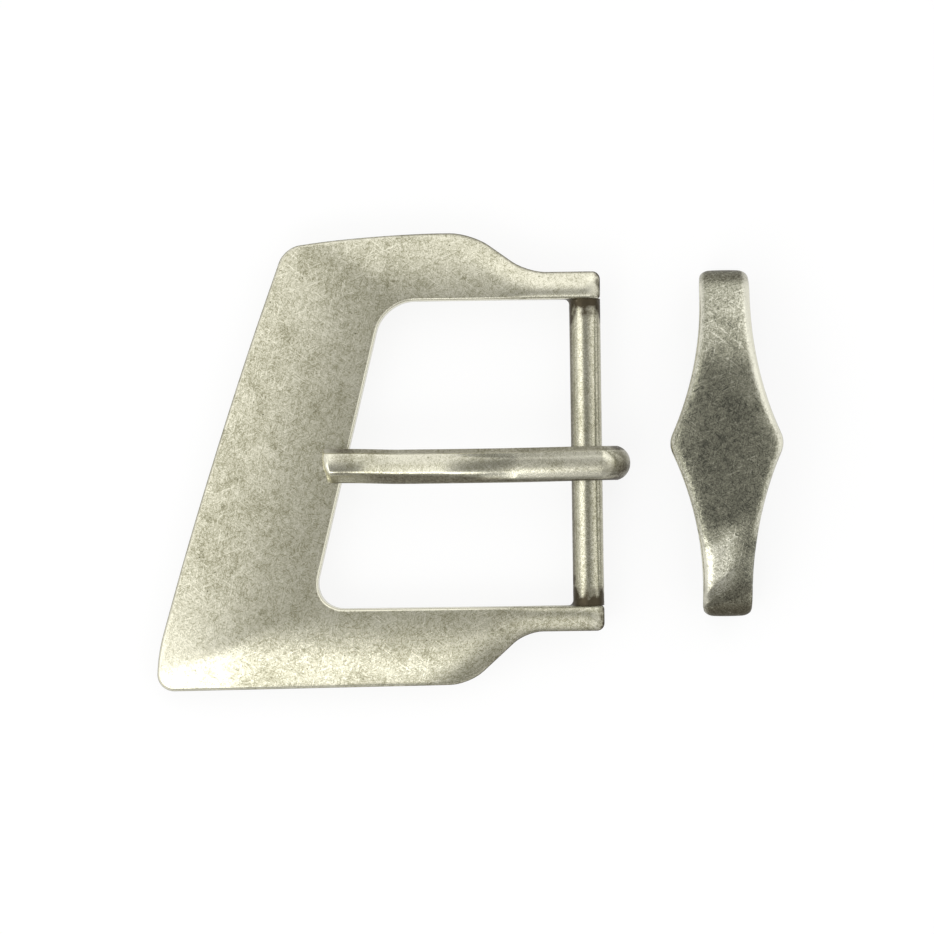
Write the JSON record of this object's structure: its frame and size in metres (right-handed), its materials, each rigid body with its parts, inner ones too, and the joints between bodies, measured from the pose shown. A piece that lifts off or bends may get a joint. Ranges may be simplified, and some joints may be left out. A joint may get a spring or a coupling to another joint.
{
  "type": "belt buckle",
  "caption": "Asymmetric prong buckle with a wide slanted plate, round heel bar and swinging tongue, with a matching diamond-faced keeper loop that slides on the strap.",
  "frame": {"origin": "middle of the heel bar's axis", "axes": "+X along the strap from the plate towards the keeper, +Y along the heel bar, +Z out of the buckle's front face"},
  "size_m": [0.0808, 0.0585, 0.012],
  "materials": {
    "frame_metal": "antique nickel, tumbled, mottled patina",
    "bar_metal": "antique nickel, dark patina at the ends",
    "prong_metal": "antique nickel, worn bright on the crest",
    "keeper_metal": "antique nickel, tumbled, mottled patina"
  },
  "bodies": {
    "buckle": {"frame": "frame_metal", "heel_bar": "bar_metal"},
    "tongue": {"prong": "prong_metal"},
    "loop": {"keeper": "keeper_metal"}
  },
  "joints": [
    {"name": "prong_swing", "type": "hinge", "parent": "buckle", "child": "tongue", "pos_m": [0, -0.00135, 0], "axis": [0, 1, 0], "range_deg": [0, 113]},
    {"name": "keeper_slide", "type": "slide", "parent": "buckle", "child": "loop", "axis": [1, 0, 0], "range_m": [0, 0.06]}
  ]
}
